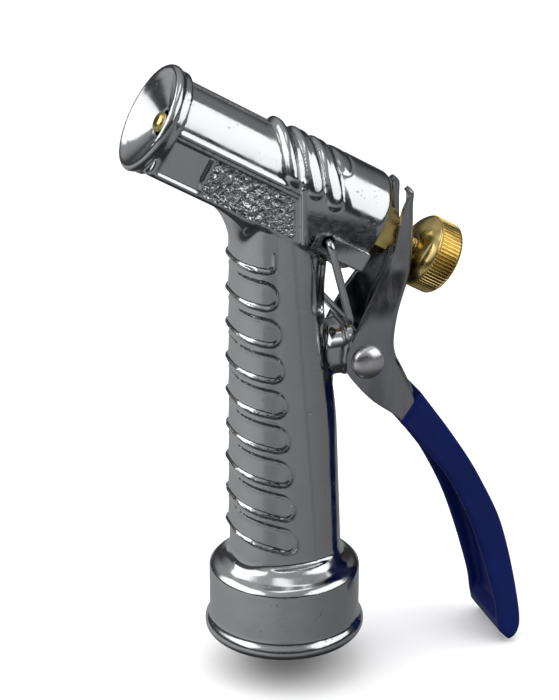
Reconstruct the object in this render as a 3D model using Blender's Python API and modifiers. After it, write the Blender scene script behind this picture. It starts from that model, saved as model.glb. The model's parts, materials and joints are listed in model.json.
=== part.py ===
"""Pistol-grip hose spray nozzle with a rear lever, built as an assembly of its real pieces.

Frame: metres, +Z up the grip, origin at the centre of the collar's bottom rim.
The barrel points to -X and upward, the lever is on the +X side, and Y = 0 is the plane of symmetry.
"""

import math

import bmesh
import bpy
from mathutils import Matrix, Vector

MM = 0.001
GAP = 0.3 * MM

# Barrel: its axis leaves the grip's Z axis at AXIS_Z and rises forward by INCLINE.
# Along it, "station" s is positive towards the bell.
AXIS_Z = 110.8 * MM
INCLINE = math.radians(30.2)
FRONT_RADIUS = 10.5 * MM
FRONT_HALF_WIDTH = 9.8 * MM
FRONT_FLOOR = 10.2 * MM
REAR_RADIUS = 12.1 * MM
REAR_FACE_S = -21.5 * MM
STEP_X = 1.0 * MM
BELL_RADIUS = 12.4 * MM
BELL_BACK_S = 31.3 * MM
BELL_LIP_S = 35.5 * MM
BELL_MOUTH_RADIUS = 10.9 * MM

# Water way inside the barrel.
SEAT_S = 26.0 * MM
THROAT_RADIUS = 2.95 * MM
THROAT_TOP_S = 28.2 * MM
CHAMBER_RADIUS = 6.4 * MM
CHAMBER_REAR_S = -9.0 * MM
GLAND_RADIUS = 4.9 * MM

# Stem and what rides on it.
STEM_RADIUS = 1.9 * MM
TIP_RADIUS = 2.3 * MM
TIP_S = 34.2 * MM
STEM_END_S = -43.6 * MM
SHOULDER_S = 21.0 * MM
SHOULDER_THICK = 1.4 * MM
BACKING_THICK = 1.0 * MM
SPRING_WIRE = 0.9 * MM
SPRING_RADIUS = 3.4 * MM
SPRING_TURNS = 9
SPRING_REAR_S = -9.5 * MM

# Collar with its female hose thread, 3/4 inch.
COLLAR_RADIUS = 17.86 * MM
COLLAR_TOP = 17.4 * MM
FLANGE_RADIUS = 19.0 * MM
FLANGE_HEIGHT = 3.4 * MM
INLET_RADIUS = 13.0 * MM
INLET_DEPTH = 15.0 * MM
WASHER_THICK = 2.8 * MM
WASHER_BORE = 8.0 * MM

# Lever pivot and hold-open clip.
PIVOT = Vector((17.0 * MM, 0.0, 69.3 * MM))
RIVET_RADIUS = 2.0 * MM
RIVET_HEAD_RADIUS = 3.9 * MM
RIVET_HEAD_HEIGHT = 2.2 * MM
LUG_HALF_WIDTH = 7.2 * MM
CLIP_HOLE = Vector((6.4 * MM, 0.0, 100.0 * MM))
CLIP_WIRE = 0.9 * MM
CLIP_BAR = Vector((11.5 * MM, 0.0, 80.4 * MM))
CLIP_HALF_WIDTH = 12.9 * MM
EAR_HALF_WIDTH = 11.6 * MM

# Lever: steel sheet folded to a channel that is open towards the grip. Each row is one section:
# its back point (x, z), its front edge (x, z) and its half width, in millimetres.
SHEET = 1.2 * MM
LEVER_SECTIONS = [
    ((28.7, 107.4), (27.5, 106.6), 6.3),
    ((28.7, 103.6), (25.9, 103.3), 6.4),
    ((28.8, 99.0), (25.1, 99.4), 6.4),
    ((28.8, 94.5), (24.2, 94.9), 6.4),
    ((28.5, 90.0), (22.7, 90.8), 6.5),
    ((27.2, 86.0), (19.8, 86.0), 7.3),
    ((25.2, 81.2), (17.0, 81.4), 8.4),
    ((24.1, 76.8), (14.4, 76.6), 9.0),
    ((23.8, 72.8), (12.4, 72.4), 9.0),
    ((24.4, 69.6), (12.0, 69.2), 9.0),
    ((25.9, 66.6), (12.7, 66.2), 9.0),
    ((27.8, 62.6), (18.0, 59.8), 9.0),
    ((30.2, 57.9), (25.0, 54.2), 9.0),
    ((36.3, 49.5), (31.5, 47.7), 9.0),
    ((41.7, 41.5), (37.7, 39.9), 8.9),
    ((45.4, 34.6), (41.8, 33.8), 8.8),
    ((50.0, 25.0), (46.0, 24.9), 8.7),
    ((52.7, 16.5), (49.0, 16.5), 8.7),
    ((54.7, 8.0), (51.3, 8.1), 8.7),
    ((56.4, 0.0), (53.1, 0.5), 8.7),
    ((57.0, -4.6), (53.7, -4.4), 8.7),
]
COAT_FIRST_SECTION = 12
COAT_SKIN = 1.2 * MM
COAT_WALL = COAT_SKIN + SHEET + COAT_SKIN
COAT_END_SECTIONS = [
    ((56.5, -7.2), (54.0, -6.2), 8.6),
    ((55.2, -8.8), (54.6, -8.0), 8.2),
]
LEVER_CORNER = 1.6 * MM
SLOT_WIDTH = 7.0 * MM
SLOT_FLOOR_Z = 91.2 * MM

COLLECTION = "hose_spray_nozzle"
CUTTERS = "hose_spray_nozzle_cutters"


# ---------------------------------------------------------------- scene and materials

def clear_scene():
    for obj in list(bpy.data.objects):
        bpy.data.objects.remove(obj)


def collection(name):
    found = bpy.data.collections.new(name)
    bpy.context.scene.collection.children.link(found)
    return found


def material(name, colour, roughness, metallic):
    made = bpy.data.materials.new(name)
    made.use_nodes = True
    shader = made.node_tree.nodes["Principled BSDF"]
    shader.inputs["Base Color"].default_value = (*colour, 1.0)
    shader.inputs["Roughness"].default_value = roughness
    shader.inputs["Metallic"].default_value = metallic
    return made


def place(obj, target, parent=None):
    for old in list(obj.users_collection):
        old.objects.unlink(obj)
    target.objects.link(obj)
    obj.parent = parent
    return obj


def axis_empty(name, matrix, target):
    empty = bpy.data.objects.new(name, None)
    empty.matrix_world = matrix
    empty.empty_display_size = 5.0 * MM
    target.objects.link(empty)
    return empty


def finish(obj, mat, smooth_angle=35.0):
    obj.data.materials.clear()
    obj.data.materials.append(mat)
    obj.data.shade_smooth()
    obj.data.set_sharp_from_angle(angle=math.radians(smooth_angle))
    return obj


def as_cutter(obj):
    obj.hide_render = True
    obj.display_type = "WIRE"
    return obj


def boolean(base, tool, operation):
    step = base.modifiers.new(f"{operation.lower()}_{tool.name}", "BOOLEAN")
    step.operation = operation
    step.solver = "EXACT"
    step.object = tool


# ---------------------------------------------------------------- shape helpers

def mesh_object(name, verts, faces):
    mesh = bpy.data.meshes.new(name)
    mesh.from_pydata(verts, [], faces)
    mesh.update()
    return bpy.data.objects.new(name, mesh)


def turned(name, profile, steps, closed=False):
    """Turn (radius, height) points about Z: down the outer side, then up the bore if it has one."""
    verts = [(radius, 0.0, height) for radius, height in profile]
    edges = [(i, i + 1) for i in range(len(verts) - 1)]
    if closed:
        edges.append((len(verts) - 1, 0))
    mesh = bpy.data.meshes.new(name)
    mesh.from_pydata(verts, edges, [])
    obj = bpy.data.objects.new(name, mesh)
    screw = obj.modifiers.new("turn", "SCREW")
    screw.axis = "Z"
    screw.steps = steps
    screw.render_steps = steps
    screw.use_merge_vertices = True
    screw.merge_threshold = 0.00001
    return obj


def ring_profile(outer, bore, top, bottom, edge=0.0):
    """Profile of a flat ring with chamfered outer edges."""
    if edge:
        outside = [(outer - edge, top), (outer, top - edge), (outer, bottom + edge), (outer - edge, bottom)]
    else:
        outside = [(outer, top), (outer, bottom)]
    return outside + [(bore, bottom), (bore, top)]


def loft(name, rings):
    """Closed solid through rings of equal point counts, with flat ends."""
    count = len(rings[0])
    verts = [point for ring in rings for point in ring]
    faces = [list(range(count))]
    for row in range(len(rings) - 1):
        start = row * count
        for i in range(count):
            j = (i + 1) % count
            faces.append((start + i, start + count + i, start + count + j, start + j))
    last = (len(rings) - 1) * count
    faces.append([last + i for i in reversed(range(count))])
    obj = mesh_object(name, verts, faces)
    bm = bmesh.new()
    bm.from_mesh(obj.data)
    bmesh.ops.recalc_face_normals(bm, faces=bm.faces)
    bm.to_mesh(obj.data)
    bm.free()
    return obj


def sheet(name, rows):
    """Open surface through rows of equal point counts."""
    count = len(rows[0])
    verts = [point for row in rows for point in row]
    faces = []
    for row in range(len(rows) - 1):
        start = row * count
        for i in range(count - 1):
            faces.append((start + i, start + count + i, start + count + i + 1, start + i + 1))
    return mesh_object(name, verts, faces)


def prism(name, outline, low, high):
    """Flat outline in its own XY plane, extruded from low to high along Z."""
    bottom = [(x, y, low) for x, y in outline]
    top = [(x, y, high) for x, y in outline]
    return loft(name, [bottom, top])


def cylinder(name, radius, start, end, vertices=32):
    """Round bar between two points."""
    start = Vector(start)
    end = Vector(end)
    along = end - start
    bm = bmesh.new()
    bmesh.ops.create_cone(bm, cap_ends=True, segments=vertices, radius1=radius, radius2=radius,
                          depth=along.length)
    turn = along.to_track_quat("Z", "Y").to_matrix().to_4x4()
    bmesh.ops.transform(bm, matrix=Matrix.Translation((start + end) / 2) @ turn, verts=bm.verts)
    mesh = bpy.data.meshes.new(name)
    bm.to_mesh(mesh)
    bm.free()
    return bpy.data.objects.new(name, mesh)


def box(name, low, high):
    low = Vector(low)
    high = Vector(high)
    bm = bmesh.new()
    bmesh.ops.create_cube(bm, size=1.0)
    bmesh.ops.scale(bm, vec=high - low, verts=bm.verts)
    bmesh.ops.translate(bm, vec=(low + high) / 2, verts=bm.verts)
    mesh = bpy.data.meshes.new(name)
    bm.to_mesh(mesh)
    bm.free()
    return bpy.data.objects.new(name, mesh)


def wire(name, points, radius, resolution=2):
    """Round wire along points, as a welded mesh with closed ends."""
    curve = bpy.data.curves.new(name, "CURVE")
    curve.dimensions = "3D"
    curve.bevel_depth = radius
    curve.bevel_resolution = resolution
    curve.use_fill_caps = True
    spline = curve.splines.new("POLY")
    spline.points.add(len(points) - 1)
    for knot, point in zip(spline.points, points):
        knot.co = (*point, 1.0)
    holder = bpy.data.objects.new(name + "_curve", curve)
    bpy.context.scene.collection.objects.link(holder)
    bpy.context.view_layer.update()
    mesh = bpy.data.meshes.new_from_object(holder.evaluated_get(bpy.context.evaluated_depsgraph_get()))
    obj = bpy.data.objects.new(name, mesh)
    obj.matrix_world = holder.matrix_world
    bpy.data.objects.remove(holder)
    bm = bmesh.new()
    bm.from_mesh(mesh)
    bmesh.ops.remove_doubles(bm, verts=bm.verts, dist=0.00001)
    bmesh.ops.recalc_face_normals(bm, faces=bm.faces)
    bm.to_mesh(mesh)
    bm.free()
    return obj


def arc(centre, radius, start, end, steps):
    """Points on a circle in a plane, angles in degrees, both ends included."""
    angles = [math.radians(start + (end - start) * i / steps) for i in range(steps + 1)]
    return [(centre[0] + radius * math.cos(a), centre[1] + radius * math.sin(a)) for a in angles]


# ---------------------------------------------------------------- the casting

def oval(front, rear, half_width, z, power=2.7, count=40):
    """Rounded-rectangle ring of the grip at height z."""
    centre = (front + rear) / 2
    half_depth = (rear - front) / 2
    ring = []
    for i in range(count):
        angle = 2 * math.pi * i / count
        c = math.cos(angle)
        s = math.sin(angle)
        x = math.copysign(abs(c) ** (2 / power), c) * half_depth
        y = math.copysign(abs(s) ** (2 / power), s) * half_width
        ring.append((centre + x, y, z))
    return ring


def make_grip():
    sections = [
        (-13.4, 13.2, 10.9, 14.0),
        (-13.2, 12.6, 10.8, 30.0),
        (-12.9, 11.4, 10.7, 53.0),
        (-12.6, 8.9, 10.6, 76.0),
        (-12.0, 7.9, 10.5, 93.0),
        (-11.8, 7.6, 9.6, 108.0),
    ]
    rings = [oval(f * MM, r * MM, w * MM, z * MM) for f, r, w, z in sections]
    return loft("grip_shape", rings)


def make_collar_shape():
    profile = [
        (0.0, 22.0 * MM),
        (13.4 * MM, 22.0 * MM),
        (14.6 * MM, 20.2 * MM),
        (COLLAR_RADIUS - 0.8 * MM, COLLAR_TOP),
        (COLLAR_RADIUS, COLLAR_TOP - 0.9 * MM),
        (COLLAR_RADIUS, FLANGE_HEIGHT + 0.3 * MM),
        (COLLAR_RADIUS + 0.3 * MM, FLANGE_HEIGHT),
        (FLANGE_RADIUS - 0.5 * MM, FLANGE_HEIGHT - 0.5 * MM),
        (FLANGE_RADIUS, FLANGE_HEIGHT - 1.2 * MM),
        (FLANGE_RADIUS, 1.2 * MM),
        (FLANGE_RADIUS - 0.5 * MM, 0.4 * MM),
        (FLANGE_RADIUS - 1.3 * MM, 0.0),
        (0.0, 0.0),
    ]
    return turned("collar_shape", profile, 56)


def make_front_barrel():
    """Round on top, square below: local X is up, local Y is across and local Z is along the barrel."""
    corner = 1.6 * MM
    half = FRONT_HALF_WIDTH
    floor = FRONT_FLOOR
    lean = math.degrees(math.acos(half / FRONT_RADIUS))
    top = arc((0.0, 0.0), FRONT_RADIUS, 90.0 - lean, -90.0 + lean, 16)
    low = arc((corner - floor, corner - half), corner, -90.0, -180.0, 3)
    high = arc((corner - floor, half - corner), corner, 180.0, 90.0, 3)
    return prism("front_barrel_shape", top + low + high, -6.0 * MM, 33.0 * MM)


def make_bell_shape():
    profile = [
        (0.0, BELL_LIP_S),
        (BELL_RADIUS - 1.1 * MM, BELL_LIP_S),
        (BELL_RADIUS - 0.3 * MM, BELL_LIP_S - 0.4 * MM),
        (BELL_RADIUS, BELL_LIP_S - 1.2 * MM),
        (BELL_RADIUS, BELL_BACK_S + 1.2 * MM),
        (BELL_RADIUS - 0.5 * MM, BELL_BACK_S + 0.4 * MM),
        (BELL_RADIUS - 1.4 * MM, BELL_BACK_S),
        (0.0, BELL_BACK_S),
    ]
    return turned("bell_shape", profile, 48)


def make_rear_barrel():
    profile = [
        (0.0, 16.0 * MM),
        (REAR_RADIUS, 16.0 * MM),
        (REAR_RADIUS, REAR_FACE_S + 1.6 * MM),
        (REAR_RADIUS - 0.5 * MM, REAR_FACE_S + 0.5 * MM),
        (REAR_RADIUS - 1.5 * MM, REAR_FACE_S),
        (0.0, REAR_FACE_S),
    ]
    return turned("rear_barrel_shape", profile, 48)


def make_ears():
    """Flat sides under the rear barrel, which carry the clip's holes."""
    low = (-9.3 * MM, -EAR_HALF_WIDTH, REAR_FACE_S + 0.2 * MM)
    high = (-2.0 * MM, EAR_HALF_WIDTH, -7.0 * MM)
    return box("ears_shape", low, high)


def make_lug():
    """Pivot lug on the back of the grip, round at the rivet."""
    nose = arc((PIVOT.x, PIVOT.z), 4.5 * MM, -90.0, 75.0, 8)
    outline = [(4.0 * MM, 64.2 * MM)] + nose + [(14.6 * MM, 76.6 * MM), (4.0 * MM, 77.4 * MM)]
    near = [(x, -LUG_HALF_WIDTH, z) for x, z in outline]
    far = [(x, LUG_HALF_WIDTH, z) for x, z in outline]
    return loft("lug_shape", [near, far])


def make_barrel_cavity():
    profile = [
        (0.0, BELL_LIP_S + 2.0 * MM),
        (BELL_MOUTH_RADIUS + 1.6 * MM, BELL_LIP_S + 2.0 * MM),
        (BELL_MOUTH_RADIUS, BELL_LIP_S - 0.3 * MM),
        (BELL_MOUTH_RADIUS - 0.3 * MM, BELL_LIP_S - 1.0 * MM),
        (THROAT_RADIUS, THROAT_TOP_S),
        (THROAT_RADIUS, SEAT_S),
        (CHAMBER_RADIUS, SEAT_S),
        (CHAMBER_RADIUS, CHAMBER_REAR_S),
        (GLAND_RADIUS, CHAMBER_REAR_S - 0.8 * MM),
        (GLAND_RADIUS, REAR_FACE_S - 3.0 * MM),
        (0.0, REAR_FACE_S - 3.0 * MM),
    ]
    return turned("barrel_cavity", profile, 40)


def make_inlet_cavity():
    profile = [
        (0.0, 104.0 * MM),
        (5.0 * MM, 104.0 * MM),
        (6.2 * MM, 60.0 * MM),
        (7.0 * MM, INLET_DEPTH),
        (INLET_RADIUS, INLET_DEPTH),
        (INLET_RADIUS, 1.2 * MM),
        (INLET_RADIUS + 1.8 * MM, -0.6 * MM),
        (0.0, -0.6 * MM),
    ]
    return turned("inlet_cavity", profile, 40)


def across(name, centre, radius, near_y, far_y):
    return cylinder(name, radius, (centre.x, near_y, centre.z), (centre.x, far_y, centre.z), 20)


def make_body(parts, cutters, barrel, mats):
    body = place(make_grip(), parts)
    body.name = "body"
    solids = [
        (make_collar_shape(), None),
        (make_front_barrel(), barrel),
        (make_ears(), barrel),
        (make_bell_shape(), barrel),
        (make_lug(), None),
    ]
    rear = as_cutter(place(make_rear_barrel(), cutters, barrel))
    trim = box("rear_barrel_trim", (-40.0 * MM, -20.0 * MM, 60.0 * MM), (STEP_X, 20.0 * MM, 160.0 * MM))
    boolean(rear, as_cutter(place(trim, cutters)), "DIFFERENCE")
    for shape, parent in solids:
        boolean(body, as_cutter(place(shape, cutters, parent)), "UNION")
    boolean(body, rear, "UNION")
    clip_reach = EAR_HALF_WIDTH - 4.2 * MM
    holes = [
        across("rivet_bore", PIVOT, RIVET_RADIUS + GAP, -20.0 * MM, 20.0 * MM),
        across("clip_hole_near", CLIP_HOLE, CLIP_WIRE + GAP, -20.0 * MM, -clip_reach),
        across("clip_hole_far", CLIP_HOLE, CLIP_WIRE + GAP, clip_reach, 20.0 * MM),
    ]
    water_way = as_cutter(place(make_barrel_cavity(), cutters, barrel))
    for tool in [make_inlet_cavity()] + holes:
        boolean(water_way, as_cutter(place(tool, cutters)), "UNION")
    boolean(body, water_way, "DIFFERENCE")
    return finish(body, mats["chromed_zinc"])


# ---------------------------------------------------------------- turned pieces on the barrel axis

def make_stem(parts, barrel, mats):
    shoulder = 3.4 * MM
    profile = [
        (0.0, TIP_S),
        (TIP_RADIUS - 1.1 * MM, TIP_S - 0.15 * MM),
        (TIP_RADIUS - 0.3 * MM, TIP_S - 0.6 * MM),
        (TIP_RADIUS, TIP_S - 1.5 * MM),
        (TIP_RADIUS, SHOULDER_S),
        (shoulder, SHOULDER_S),
        (shoulder, SHOULDER_S - SHOULDER_THICK),
        (STEM_RADIUS, SHOULDER_S - SHOULDER_THICK - 0.4 * MM),
        (STEM_RADIUS, STEM_END_S + 0.4 * MM),
        (STEM_RADIUS - 0.4 * MM, STEM_END_S),
        (0.0, STEM_END_S),
    ]
    return finish(place(turned("stem", profile, 24), parts, barrel), mats["brass"])


def make_rings(parts, barrel, mats):
    """Washers and packing threaded on the stem, each with its front and rear station."""
    bore = STEM_RADIUS + GAP
    fit = GLAND_RADIUS - GAP
    backing_front = SHOULDER_S + GAP + BACKING_THICK
    washer_rear = backing_front + GAP
    washer_front = SEAT_S - GAP
    packing = 2.4 * MM
    front = SPRING_REAR_S - GAP
    rings = [
        ("valve_washer", fit, TIP_RADIUS + GAP, washer_front, washer_rear, 0.4 * MM, "black_rubber"),
        ("valve_backing_washer", fit - 0.3 * MM, TIP_RADIUS + GAP, backing_front, SHOULDER_S + GAP,
         0.15 * MM, "brass"),
    ]
    for name, thick, slot in [
        ("spring_seat_washer", 1.0 * MM, "brass"),
        ("packing_ring_front", packing, "black_rubber"),
        ("packing_ring_rear", packing, "black_rubber"),
        ("gland_follower", 1.0 * MM, "brass"),
    ]:
        rings.append((name, fit, bore, front, front - thick, 0.2 * MM, slot))
        front -= thick + GAP
    for name, outer, inner, top, bottom, edge, slot in rings:
        obj = turned(name, ring_profile(outer, inner, top, bottom, edge), 28, closed=True)
        finish(place(obj, parts, barrel), mats[slot])
    return front


def make_packing_nut(parts, cutters, barrel, mats, shank_front):
    """Threaded shank in the gland with a hexagonal head outside it."""
    bore = STEM_RADIUS + GAP
    head_front = REAR_FACE_S - GAP
    head_rear = -28.6 * MM
    profile = [
        (GLAND_RADIUS - GAP, shank_front),
        (GLAND_RADIUS - GAP, head_front),
        (6.2 * MM, head_front),
        (6.2 * MM, head_rear + 0.9 * MM),
        (4.7 * MM, head_rear),
        (bore, head_rear),
        (bore, shank_front),
    ]
    nut = turned("packing_nut", profile, 30, closed=True)
    place(nut, parts, barrel)
    flats = 9.8 * MM / 2
    corner = flats / math.cos(math.radians(30.0))
    hexagon = arc((0.0, 0.0), corner, 330.0, 30.0, 5)
    tool = prism("hexagon", hexagon, head_rear - 2.0 * MM, head_front)
    sleeve = prism("hexagon_sleeve", arc((0.0, 0.0), 4.8 * MM, 345.0, 15.0, 11), head_front - 0.1 * MM,
                   0.0)
    place(as_cutter(tool), cutters, barrel)
    place(as_cutter(sleeve), cutters, barrel)
    boolean(tool, sleeve, "UNION")
    boolean(nut, tool, "INTERSECT")
    return finish(nut, mats["brass"], 25.0)


def make_knob(parts, barrel, mats):
    """Domed front, groove, knurled rim and flat rear."""
    bore = STEM_RADIUS + GAP
    profile = [
        (3.4, -35.3),
        (5.6, -36.3),
        (7.2, -37.0),
        (8.05, -37.6),
        (8.45, -38.4),
        (8.1, -38.7),
        (8.1, -39.1),
        (8.65, -39.4),
        (8.65, -43.4),
        (8.1, -44.0),
    ]
    points = [(r * MM, s * MM) for r, s in profile]
    points += [(bore, -44.0 * MM), (bore, -35.3 * MM)]
    return finish(place(turned("adjusting_knob", points, 48, closed=True), parts, barrel), mats["brass"], 25.0)


def make_spring(parts, barrel, mats):
    """Compression spring with close end turns, between the stem's shoulder and its seat washer."""
    front = SHOULDER_S - SHOULDER_THICK - 0.4 * MM - GAP - SPRING_WIRE / 2
    rear = SPRING_REAR_S + GAP + SPRING_WIRE / 2
    per_turn = 12
    total = SPRING_TURNS * per_turn
    points = []
    for i in range(total + 1):
        angle = 2 * math.pi * i / per_turn
        height = rear + (front - rear) * i / total
        points.append((SPRING_RADIUS * math.cos(angle), SPRING_RADIUS * math.sin(angle), height))
    return finish(place(wire("return_spring", points, SPRING_WIRE / 2), parts, barrel), mats["spring_steel"])


def make_hose_washer(parts, mats):
    top = INLET_DEPTH - GAP
    profile = ring_profile(INLET_RADIUS - GAP, WASHER_BORE, top, top - WASHER_THICK, 0.3 * MM)
    return finish(place(turned("hose_washer", profile, 40, closed=True), parts), mats["black_rubber"])


# ---------------------------------------------------------------- lever

def section_frame(row):
    back = Vector((row[0][0] * MM, 0.0, row[0][1] * MM))
    front = Vector((row[1][0] * MM, 0.0, row[1][1] * MM))
    return front, (back - front).normalized(), (back - front).length, row[2] * MM


def channel_section(row, grow=0.0, front_extra=0.0):
    """Open U of one lever section, from the near edge round the back to the far edge."""
    front, along, depth, half = section_frame(row)
    half += grow
    depth += grow
    radius = max(min(LEVER_CORNER + grow, depth * 0.7), 0.5 * MM)
    across_y = Vector((0.0, 1.0, 0.0))
    flat = [(-front_extra, -half)]
    flat += [(x, -y) for x, y in reversed(arc((depth - radius, half - radius), radius, 0.0, 90.0, 3))]
    flat += arc((depth - radius, half - radius), radius, 0.0, 90.0, 3)
    flat += [(-front_extra, half)]
    return [front + along * t + across_y * y for t, y in flat]


def lever_sheet(name, rows, thickness, outside, front_extra):
    """Channel of sheet: outside is how far it stands proud of the lever's steel surface."""
    obj = sheet(name, [channel_section(row, 0.0, front_extra) for row in rows])
    solid = obj.modifiers.new("thickness", "SOLIDIFY")
    solid.thickness = thickness
    solid.offset = 2.0 * outside / thickness - 1.0
    solid.use_even_offset = True
    return obj


def make_lever(parts, cutters, pivot, mats):
    lever = lever_sheet("lever", LEVER_SECTIONS, SHEET, 0.0, 0.0)
    place(lever, parts)
    slot = box("fork_slot", (20.0 * MM, -SLOT_WIDTH / 2, SLOT_FLOOR_Z),
               (36.0 * MM, SLOT_WIDTH / 2, 112.0 * MM))
    bore = across("lever_rivet_bore", PIVOT, RIVET_RADIUS + GAP, -20.0 * MM, 20.0 * MM)
    for tool in (slot, bore):
        boolean(lever, as_cutter(place(tool, cutters)), "DIFFERENCE")
    keep_world(lever, pivot)
    return finish(lever, mats["chromed_steel"])


def keep_world(obj, parent):
    """Hang an object on an axis empty so that its origin is on the joint."""
    obj.data.transform(parent.matrix_world.inverted())
    obj.parent = parent
    return obj


def make_lever_grip(parts, cutters, pivot, mats):
    """Dipped vinyl sleeve: the channel's outer shape, hollowed for the fingers and for the steel."""
    rows = LEVER_SECTIONS[COAT_FIRST_SECTION:]
    rings = [channel_section(row, COAT_SKIN, COAT_SKIN) for row in rows]
    rings[0] = [a.lerp(b, 0.1) for a, b in zip(rings[0], rings[1])]
    rings += [channel_section(row, COAT_SKIN, COAT_SKIN) for row in COAT_END_SECTIONS]
    coat = place(loft("lever_grip", rings), parts)
    hollow_rings = [channel_section(row, COAT_SKIN - COAT_WALL, 6.0 * MM) for row in rows]
    top = [point + (a - b) for point, a, b in zip(hollow_rings[0], hollow_rings[0], hollow_rings[1])]
    hollow = loft("finger_hollow", [top] + hollow_rings)
    steel = lever_sheet("steel_space", LEVER_SECTIONS[COAT_FIRST_SECTION - 1:], SHEET + 2 * GAP, GAP, GAP)
    extend_sheet(steel, GAP)
    place(as_cutter(hollow), cutters)
    boolean(hollow, as_cutter(place(steel, cutters)), "UNION")
    boolean(coat, hollow, "DIFFERENCE")
    keep_world(coat, pivot)
    return finish(coat, mats["blue_vinyl"])


def extend_sheet(obj, length):
    """Move the last row of a channel sheet on along the lever by a length."""
    mesh = obj.data
    count = len(channel_section(LEVER_SECTIONS[0]))
    total = len(mesh.vertices)
    for i in range(count):
        last = mesh.vertices[total - count + i]
        before = mesh.vertices[total - 2 * count + i]
        last.co = last.co + (last.co - before.co).normalized() * length


def make_rivet(parts, pivot, mats):
    """Domed rivet through both cheeks and the lug, turned about its own length."""
    face = 9.0 * MM + 0.4 * GAP
    head = []
    for i in range(6):
        angle = math.radians(90.0 - 15.0 * i)
        head.append((RIVET_HEAD_RADIUS * math.cos(angle), face + 0.3 * MM
                     + (RIVET_HEAD_HEIGHT - 0.3 * MM) * math.sin(angle)))
    head.append((RIVET_HEAD_RADIUS, face))
    upper = head + [(RIVET_RADIUS, face)]
    lower = [(r, -z) for r, z in reversed(upper)]
    rivet = turned("pivot_rivet", upper + lower, 28)
    rivet.rotation_euler = (math.radians(90.0), 0.0, 0.0)
    return finish(place(rivet, parts, pivot), mats["chromed_steel"])


# ---------------------------------------------------------------- hold-open clip

def bend(before, corner, after, radius, steps):
    """Rounded corner of a wire route."""
    inward = (before - corner).normalized()
    outward = (after - corner).normalized()
    half = inward.angle(outward) / 2
    reach = radius / math.tan(half)
    start = corner + inward * reach
    end = corner + outward * reach
    points = []
    for i in range(steps + 1):
        t = i / steps
        points.append(start * (1 - t) ** 2 + corner * 2 * t * (1 - t) + end * t * t)
    return points


def make_clip(parts, holder, mats):
    """Wire bail: two turned-in ends in the ears, two legs and a cross bar."""
    inner = EAR_HALF_WIDTH - 3.4 * MM
    hole = CLIP_HOLE
    bar = CLIP_BAR
    half = CLIP_HALF_WIDTH
    route = [
        Vector((hole.x, -inner, hole.z)),
        Vector((hole.x, -half, hole.z)),
        Vector((bar.x, -half, bar.z)),
        Vector((bar.x, half, bar.z)),
        Vector((hole.x, half, hole.z)),
        Vector((hole.x, inner, hole.z)),
    ]
    radii = [1.2 * MM, 2.2 * MM, 2.2 * MM, 1.2 * MM]
    points = [route[0]]
    for i, radius in enumerate(radii):
        points += bend(route[i], route[i + 1], route[i + 2], radius, 5)
    points.append(route[-1])
    clip = place(wire("hold_open_clip", points, CLIP_WIRE), parts)
    keep_world(clip, holder)
    return finish(clip, mats["spring_steel"])


# ---------------------------------------------------------------- assembly

def make_materials():
    return {
        "chromed_zinc": material("chromed_zinc", (0.62, 0.63, 0.65), 0.12, 1.0),
        "chromed_steel": material("chromed_steel", (0.50, 0.51, 0.53), 0.18, 1.0),
        "spring_steel": material("spring_steel", (0.60, 0.60, 0.60), 0.25, 1.0),
        "brass": material("brass", (0.72, 0.55, 0.22), 0.22, 1.0),
        "black_rubber": material("black_rubber", (0.02, 0.02, 0.02), 0.75, 0.0),
        "blue_vinyl": material("blue_vinyl", (0.02, 0.05, 0.24), 0.42, 0.0),
    }


def main():
    clear_scene()
    parts = collection(COLLECTION)
    cutters = collection(CUTTERS)
    mats = make_materials()
    tilt = Matrix.Rotation(INCLINE - math.pi / 2, 4, "Y")
    barrel = axis_empty("barrel_axis", Matrix.Translation((0.0, 0.0, AXIS_Z)) @ tilt, parts)
    pivot = axis_empty("lever_pivot_axis", Matrix.Translation(PIVOT), parts)
    clip_axis = axis_empty("clip_axis", Matrix.Translation(CLIP_HOLE), parts)
    bpy.context.view_layer.update()
    make_body(parts, cutters, barrel, mats)
    make_hose_washer(parts, mats)
    make_stem(parts, barrel, mats)
    shank_front = make_rings(parts, barrel, mats)
    make_packing_nut(parts, cutters, barrel, mats, shank_front)
    make_spring(parts, barrel, mats)
    make_knob(parts, barrel, mats)
    make_lever(parts, cutters, pivot, mats)
    make_lever_grip(parts, cutters, pivot, mats)
    make_rivet(parts, pivot, mats)
    make_clip(parts, clip_axis, mats)
    bpy.context.view_layer.update()


main()
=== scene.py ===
"""Looks of the hose spray nozzle: a cast and chromed body, a pressed steel lever with a blue vinyl dip,
a brass valve and a wire clip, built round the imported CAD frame. Shapes are worked out in millimetres."""

import json
import math

import bpy
import bmesh
import numpy as np
from mathutils import Matrix, Vector


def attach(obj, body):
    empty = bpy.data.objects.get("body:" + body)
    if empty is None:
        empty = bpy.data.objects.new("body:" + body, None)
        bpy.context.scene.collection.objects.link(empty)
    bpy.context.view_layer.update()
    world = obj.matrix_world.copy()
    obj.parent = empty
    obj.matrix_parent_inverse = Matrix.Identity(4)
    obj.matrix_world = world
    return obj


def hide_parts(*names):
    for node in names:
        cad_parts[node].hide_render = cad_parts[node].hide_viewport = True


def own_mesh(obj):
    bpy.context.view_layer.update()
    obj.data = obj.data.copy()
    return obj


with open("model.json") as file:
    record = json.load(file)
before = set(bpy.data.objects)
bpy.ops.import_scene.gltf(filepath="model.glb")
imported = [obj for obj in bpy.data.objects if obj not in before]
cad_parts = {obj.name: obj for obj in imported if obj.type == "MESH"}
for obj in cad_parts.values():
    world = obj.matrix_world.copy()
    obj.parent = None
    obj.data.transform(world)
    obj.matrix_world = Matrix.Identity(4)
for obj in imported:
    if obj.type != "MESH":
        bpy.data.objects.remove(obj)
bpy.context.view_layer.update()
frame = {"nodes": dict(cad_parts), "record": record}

MM = 0.001

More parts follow.
